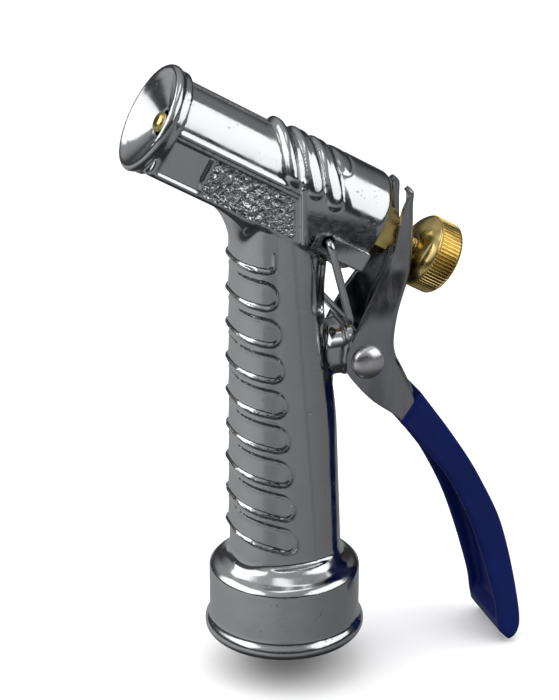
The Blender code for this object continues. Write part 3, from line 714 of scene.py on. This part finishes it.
def build_spring():
    """Compression spring between its seat washer and the stem's shoulder, with close end turns."""
    steps = 20
    points = []
    for i in range(COIL_TURNS * steps + 1):
        t = i / (COIL_TURNS * steps)
        angle = 2.0 * math.pi * COIL_TURNS * t
        flat = 0.055 * math.sin(2.0 * math.pi * t)
        s = SPRING_REAR_S + (SPRING_FRONT_S - SPRING_REAR_S) * (t - flat)
        points.append((COIL_RADIUS * math.cos(angle), COIL_RADIUS * math.sin(angle), s))
    points = np.array(points)
    along = np.gradient(points, axis=0)
    along /= np.linalg.norm(along, axis=1)[:, None]
    out = points * (1.0, 1.0, 0.0) / COIL_RADIUS
    across = np.cross(along, out)
    sides = 10
    ring = [points + SPRING_WIRE * (math.cos(a) * out + math.sin(a) * across)
            for a in np.arange(sides) * 2.0 * math.pi / sides]
    vertices = np.stack(ring, 1).reshape(-1, 3)
    faces = []
    for i in range(len(points) - 1):
        for k in range(sides):
            a = i * sides + k
            b = i * sides + (k + 1) % sides
            faces.append((a, b, b + sides, a + sides))
    last = (len(points) - 1) * sides
    faces.append(tuple(range(sides))[::-1])
    faces.append(tuple(range(last, last + sides)))
    piece = mesh_piece("coil_spring", vertices * MM, faces)
    piece.data.transform(on_barrel())
    return sharp_edges(piece, 60.0)


def build_lever():
    """Pressed channel: rows across the lever, cheeks either side of a web, forked above the slot's floor."""
    rows = [(*back, *front, half) for back, front, half in LEVER_SECTIONS]
    rows = spline(rows, 7)
    points = []
    for bx, bz, fx, fz, half in rows:
        depth = math.hypot(bx - fx, bz - fz)
        along = np.array(((bx - fx) / depth, (bz - fz) / depth))
        corner = min(LEVER_CORNER, depth * 0.7)
        bend = [(depth - corner + corner * math.sin(a), half - corner + corner * math.cos(a))
                for a in np.radians(np.linspace(0, 90, 8))]
        cheek = [(depth - corner) * t for t in np.linspace(0.0, 1.0, 5, endpoint=False)]
        side = [(t, half) for t in cheek] + bend
        side.append((depth, (half - corner + SLOT_HALF) / 2))
        side.append((depth, SLOT_HALF))
        web = [(depth, y) for y in (SLOT_HALF / 2, 0.0, -SLOT_HALF / 2)]
        section = [(t, -y) for t, y in side] + web[::-1] + [(t, y) for t, y in reversed(side)]
        for t, y in section:
            points.append((fx + along[0] * t, y, fz + along[1] * t))
    points = np.array(points)
    count = len(points) // len(rows)
    faces = []
    for row in range(len(rows) - 1):
        for i in range(count - 1):
            a = row * count + i
            face = (a, a + count, a + count + 1, a + 1)
            middle = points[list(face)].mean(0)
            if abs(middle[1]) < SLOT_HALF and middle[2] > SLOT_FLOOR_Z:
                continue
            faces.append(face)
    piece = mesh_piece("pressed_lever", points * MM, faces)
    bm = bmesh.new()
    bm.from_mesh(piece.data)
    loose = [v for v in bm.verts if not v.link_faces]
    bmesh.ops.delete(bm, geom=loose, context="VERTS")
    bm.to_mesh(piece.data)
    bm.free()
    sheet = piece.modifiers.new("sheet", "SOLIDIFY")
    sheet.thickness = SHEET * MM
    sheet.offset = -1.0
    sheet.use_even_offset = True
    edge = piece.modifiers.new("rolled_edges", "BEVEL")
    edge.width = 0.2 * MM
    edge.segments = 3
    edge.limit_method = "ANGLE"
    edge.angle_limit = math.radians(50.0)
    return piece


# ---------------------------------------------------------------- materials

class Nodes:
    """Small helper that wires one material."""

    def __init__(self, name, colour, metallic, roughness):
        self.material = bpy.data.materials.new(name)
        self.material.use_nodes = True
        self.tree = self.material.node_tree
        self.shader = self.tree.nodes["Principled BSDF"]
        self.shader.inputs["Base Color"].default_value = (*colour, 1.0)
        self.shader.inputs["Metallic"].default_value = metallic
        self.shader.inputs["Roughness"].default_value = roughness
        self.place = self.add("ShaderNodeTexCoord").outputs["Object"]

    def add(self, kind, **values):
        node = self.tree.nodes.new(kind)
        for key, value in values.items():
            setattr(node, key, value)
        return node

    def link(self, source, target):
        if hasattr(source, "is_output"):
            self.tree.links.new(source, target)
        else:
            target.default_value = source

    def attribute(self, name):
        return self.add("ShaderNodeAttribute", attribute_name=name).outputs["Fac"]

    def noise(self, scale, detail=2.0, rough=0.5, stretch=None, warp=0.0):
        node = self.add("ShaderNodeTexNoise")
        node.inputs["Distortion"].default_value = warp
        node.inputs["Scale"].default_value = scale
        node.inputs["Detail"].default_value = detail
        node.inputs["Roughness"].default_value = rough
        source = self.place
        if stretch:
            mapping = self.add("ShaderNodeMapping")
            mapping.inputs["Scale"].default_value = stretch
            self.link(source, mapping.inputs["Vector"])
            source = mapping.outputs["Vector"]
        self.link(source, node.inputs["Vector"])
        return node.outputs["Fac"]

    def remap(self, value, low, high, out_low, out_high):
        node = self.add("ShaderNodeMapRange", interpolation_type="SMOOTHSTEP")
        for key, number in zip(("From Min", "From Max", "To Min", "To Max"), (low, high, out_low, out_high)):
            node.inputs[key].default_value = number
        self.link(value, node.inputs["Value"])
        return node.outputs["Result"]

    def math(self, operation, a, b):
        node = self.add("ShaderNodeMath", operation=operation)
        self.link(a, node.inputs[0])
        self.link(b, node.inputs[1])
        return node.outputs[0]

    def mix_colour(self, factor, first, second):
        node = self.add("ShaderNodeMix", data_type="RGBA")
        self.link(factor, node.inputs["Factor"])
        for key, value in (("A", first), ("B", second)):
            socket = [i for i in node.inputs if i.name == key and i.type == "RGBA"][0]
            if isinstance(value, tuple):
                socket.default_value = (*value, 1.0)
            else:
                self.link(value, socket)
        return [o for o in node.outputs if o.type == "RGBA"][0]

    def bump(self, height, depth_mm, below=None):
        node = self.add("ShaderNodeBump")
        node.inputs["Strength"].default_value = 1.0
        node.inputs["Distance"].default_value = depth_mm * MM
        self.link(height, node.inputs["Height"])
        if below is not None:
            self.link(below, node.inputs["Normal"])
        return node.outputs["Normal"]

    def done(self, colour=None, roughness=None, normal=None):
        for key, value in (("Base Color", colour), ("Roughness", roughness), ("Normal", normal)):
            if value is not None:
                self.link(value, self.shader.inputs[key])
        return self.material


def cast_chrome():
    """Chrome over a die casting: faint waves, rare pits, a pebbled panel, and a flank with real pits whose
    colour is darkened by painted shade.
    """
    m = Nodes("cast_chrome", CHROME, 1.0, 0.12)
    waves = m.noise(80.0, 2.0)
    pores = m.remap(m.noise(1500.0, 2.0), 0.66, 0.74, 0.0, -1.0)
    cloud = m.remap(m.noise(170.0, 3.0), 0.5, 0.62, 0.0, 1.0)
    pebbled = m.attribute("pebbled")
    pits_and_painted_shade = m.attribute("pits_and_painted_shade")
    worms = m.remap(m.noise(850.0, 1.0, 0.5, warp=0.8), 0.40, 0.60, 0.0, 1.0)
    pits = m.remap(m.noise(1300.0, 3.0, 0.7), 0.50, 0.66, 0.0, -1.0)
    rough = m.remap(m.noise(260.0, 4.0), 0.3, 0.7, 0.10, 0.19)
    rough = m.math("ADD", rough, m.math("MULTIPLY", pits_and_painted_shade, 0.10))
    normal = m.bump(waves, 0.17)
    normal = m.bump(m.noise(320.0, 2.0), 0.012, normal)
    normal = m.bump(m.math("MULTIPLY", pores, cloud), 0.05, normal)
    normal = m.bump(m.math("MULTIPLY", worms, pebbled), 0.2, normal)
    normal = m.bump(m.math("MULTIPLY", pits, pits_and_painted_shade), 0.06, normal)
    # painted shade: the flank's mask mixes its chrome colour towards near-black (0.10), standing in for the
    # shade and dark reflection under the rear barrel
    painted_shade_mix = m.math("MULTIPLY", pits_and_painted_shade, m.remap(m.noise(800.0, 3.0), 0.3, 0.7, 0.75, 1.0))
    colour = m.mix_colour(painted_shade_mix, CHROME, (0.10, 0.105, 0.12))
    return m.done(colour, rough, normal)


def plated_steel():
    m = Nodes("plated_steel", (0.40, 0.41, 0.43), 1.0, 0.2)
    grain = m.noise(420.0, 4.0, 0.6, (1.0, 1.0, 0.22))
    spots = m.remap(m.noise(90.0, 4.0, 0.6, (1.0, 1.0, 0.35)), 0.42, 0.62, 0.0, 1.0)
    rough = m.remap(grain, 0.3, 0.7, 0.13, 0.25)
    colour = m.mix_colour(m.math("MULTIPLY", spots, 0.6), (0.42, 0.43, 0.45), (0.22, 0.23, 0.25))
    normal = m.bump(grain, 0.012, m.bump(m.noise(70.0, 1.0), 0.12))
    return m.done(colour, rough, normal)


def bright_wire():
    m = Nodes("bright_wire", (0.60, 0.61, 0.62), 1.0, 0.16)
    draw = m.noise(600.0, 3.0, 0.6, (1.0, 1.0, 0.15))
    return m.done(None, m.remap(draw, 0.3, 0.7, 0.10, 0.24), m.bump(draw, 0.01))


def turned_brass():
    m = Nodes("turned_brass", (0.55, 0.42, 0.15), 1.0, 0.2)
    tarnish = m.remap(m.noise(230.0, 4.0), 0.42, 0.68, 0.0, 1.0)
    colour = m.mix_colour(tarnish, (0.80, 0.63, 0.25), (0.56, 0.42, 0.14))
    rough = m.remap(m.noise(700.0, 3.0), 0.3, 0.7, 0.14, 0.28)
    return m.done(colour, rough, m.bump(m.noise(1400.0, 3.0), 0.006))


def dipped_vinyl():
    """Soft royal blue dip with a faint orange peel."""
    m = Nodes("dipped_vinyl", (0.0005, 0.006, 0.070), 0.0, 0.4)
    m.shader.inputs["IOR"].default_value = 1.32
    m.shader.inputs["Specular IOR Level"].default_value = 0.3
    peel = m.noise(420.0, 2.0)
    cloud = m.remap(m.noise(60.0, 3.0), 0.3, 0.7, 0.0, 1.0)
    colour = m.mix_colour(cloud, (0.0004, 0.005, 0.062), (0.0008, 0.007, 0.080))
    rough = m.remap(m.noise(160.0, 3.0), 0.3, 0.7, 0.34, 0.46)
    return m.done(colour, rough, m.bump(peel, 0.03, m.bump(m.noise(110.0, 1.0), 0.12)))


def satin_dome():
    m = Nodes("satin_dome", (0.84, 0.84, 0.85), 1.0, 0.3)
    grain = m.noise(500.0, 4.0, 0.6)
    return m.done(None, m.remap(grain, 0.3, 0.7, 0.24, 0.36), m.bump(grain, 0.01))


def moulded_rubber():
    m = Nodes("moulded_rubber", (0.018, 0.018, 0.019), 0.0, 0.7)
    fine = m.noise(900.0, 4.0)
    colour = m.mix_colour(fine, (0.014, 0.014, 0.015), (0.03, 0.03, 0.032))
    return m.done(colour, m.remap(fine, 0.3, 0.7, 0.6, 0.8), m.bump(fine, 0.04))


def pale_floor():
    m = Nodes("pale_floor", (0.90, 0.90, 0.90), 0.0, 0.8)
    return m.done(m.mix_colour(m.noise(3.0, 2.0), (0.89, 0.89, 0.895), (0.91, 0.91, 0.912)))


# ---------------------------------------------------------------- stage

def look_at(obj, eye, target):
    obj.location = eye
    obj.rotation_mode = "QUATERNION"
    obj.rotation_quaternion = (Vector(target) - Vector(eye)).to_track_quat("-Z", "Y")


def area_light(name, eye, target, width, height, power):
    light = bpy.data.lights.new(name, "AREA")
    light.shape = "RECTANGLE"
    light.size = width
    light.size_y = height
    light.energy = power
    lamp = bpy.data.objects.new(name, light)
    bpy.context.scene.collection.objects.link(lamp)
    look_at(lamp, eye, target)
    return lamp


def sky_ramp(tree, direction_z, stops):
    """Grey by height of the direction: the ramp runs from straight down to straight up."""
    place = tree.nodes.new("ShaderNodeMapRange")
    place.inputs["From Min"].default_value = -1.0
    tree.links.new(direction_z, place.inputs["Value"])
    band = tree.nodes.new("ShaderNodeValToRGB")
    tree.links.new(place.outputs["Result"], band.inputs["Fac"])
    while len(band.color_ramp.elements) < len(stops):
        band.color_ramp.elements.new(0.5)
    for element, (elevation, grey) in zip(band.color_ramp.elements, stops):
        element.position = (math.sin(math.radians(elevation)) + 1.0) / 2.0
        element.color = (grey, grey, grey * 1.02, 1.0)
    return band.outputs["Color"]


def shade_towards(tree, direction, colour, azimuth, span, strength):
    """Scales a room colour by how far a direction points to that azimuth."""
    side = tree.nodes.new("ShaderNodeVectorMath")
    side.operation = "DOT_PRODUCT"
    side.inputs[1].default_value = around(1.0, azimuth, 0.0)
    tree.links.new(direction, side.inputs[0])
    place = tree.nodes.new("ShaderNodeMapRange")
    for key, value in zip(("From Min", "From Max", "To Min", "To Max"), (*span, *strength)):
        place.inputs[key].default_value = value
    tree.links.new(side.outputs["Value"], place.inputs["Value"])
    scaled = tree.nodes.new("ShaderNodeVectorMath")
    scaled.operation = "SCALE"
    tree.links.new(colour, scaled.inputs[0])
    tree.links.new(place.outputs["Result"], scaled.inputs["Scale"])
    return scaled.outputs["Vector"]


def around(radius, azimuth, elevation):
    """Point on a sphere about the object, angles in degrees."""
    a = math.radians(azimuth)
    e = math.radians(elevation)
    return Vector((math.cos(a) * math.cos(e), math.sin(a) * math.cos(e), math.sin(e))) * radius


def build_stage():
    """Pale floor, three softboxes, a ceiling bounce and a dim room for the chrome to mirror."""
    z = FLOOR_Z * MM
    corners = [(a * FLOOR_REACH, b * FLOOR_REACH, z) for a, b in ((-1, -1), (1, -1), (1, 1), (-1, 1))]
    floor = mesh_piece("studio_floor", corners, [(0, 1, 2, 3)])
    floor.data.materials.append(pale_floor())
    floor.visible_glossy = False
    middle = Vector((0.0, 0.0, 0.08))
    for name, (distance, azimuth, elevation, width, height, power) in SOFTBOXES.items():
        area_light(name, middle + around(distance, azimuth, elevation), middle, width, height, power)
    fill = area_light("ceiling_bounce", (0.0, 0.0, CEILING_HEIGHT), (0.0, 0.0, 0.0),
                      CEILING_SIZE, CEILING_SIZE, CEILING_POWER)
    fill.visible_glossy = False
    world = bpy.data.worlds.new("studio")
    bpy.context.scene.world = world
    world.use_nodes = True
    tree = world.node_tree
    place = tree.nodes.new("ShaderNodeTexCoord")
    parts = tree.nodes.new("ShaderNodeSeparateXYZ")
    tree.links.new(place.outputs["Generated"], parts.inputs[0])
    room = sky_ramp(tree, parts.outputs[2], ROOM)
    room = shade_towards(tree, place.outputs["Generated"], room, 170.0, (-1.0, 1.0), (0.58, 1.40))
    room = shade_towards(tree, place.outputs["Generated"], room, -108.0, (0.87, 0.925), (1.0, 0.72))
    rays = tree.nodes.new("ShaderNodeLightPath")
    backdrop = tree.nodes.new("ShaderNodeMixRGB")
    backdrop.inputs["Color2"].default_value = (*BACKDROP, 1.0)
    tree.links.new(rays.outputs["Is Camera Ray"], backdrop.inputs["Fac"])
    tree.links.new(room, backdrop.inputs["Color1"])
    tree.links.new(backdrop.outputs["Color"], tree.nodes["Background"].inputs["Color"])
    tree.nodes["Background"].inputs["Strength"].default_value = 1.0
    bpy.context.scene.view_settings.view_transform = "Standard"


def build_camera():
    """The camera at the viewing angle, aimed at the middle of the grip."""
    level = math.cos(VIEW_RISE)
    back = Vector((-math.sin(VIEW_TURN) * level, -math.cos(VIEW_TURN) * level, math.sin(VIEW_RISE)))
    camera = bpy.data.cameras.new("camera")
    camera.lens = VIEW_LENS
    camera.sensor_width = 36.0
    camera.shift_x, camera.shift_y = VIEW_SHIFT
    camera.dof.use_dof = False
    obj = bpy.data.objects.new("camera", camera)
    bpy.context.scene.collection.objects.link(obj)
    look_at(obj, VIEW_TARGET + back * VIEW_DISTANCE, VIEW_TARGET)
    bpy.context.scene.camera = obj


# ---------------------------------------------------------------- assembly

def fit(piece, body, node, material):
    """Give a finished piece its material and its body, and hide the CAD node that it stands for."""
    piece.data.materials.clear()
    piece.data.materials.append(material)
    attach(piece, body)
    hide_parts(node)


def main():
    chrome = cast_chrome()
    steel = plated_steel()
    wire = bright_wire()
    brass = turned_brass()
    vinyl = dipped_vinyl()
    rubber = moulded_rubber()
    cell = CELL
    body = surface("cast_body", casting, (-38.5, -20.5, -1.5), (25.5, 20.5, 141.5), cell)
    mark_casting(body.data)
    fit(body, "body", "body", chrome)
    dip = surface("vinyl_dip", vinyl_dip, (23.0, -11.5, -11.5), (60.0, 11.5, 62.0), cell)
    fit(dip, "lever", "lever_grip", vinyl)
    fit(build_lever(), "lever", "lever", steel)
    fit(build_rivet(), "lever", "pivot_rivet", satin_dome())
    fit(build_knob(), "knob", "adjusting_knob", brass)
    fit(build_stem(), "stem", "stem", brass)
    fit(build_nut(), "body", "packing_nut", brass)
    fit(build_clip(), "clip", "hold_open_clip", wire)
    spring = build_spring()
    fit(spring, "body", "return_spring", wire)
    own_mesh(spring)
    finishes = {"brass": brass, "black_rubber": rubber, "spring_steel": wire}
    for part in frame["record"]["subparts"]:
        node = frame["nodes"].get(part["node"])
        if node and part["material_slot"] in finishes:
            for slot in node.material_slots:
                slot.material = finishes[part["material_slot"]]
    build_stage()
    build_camera()


main()
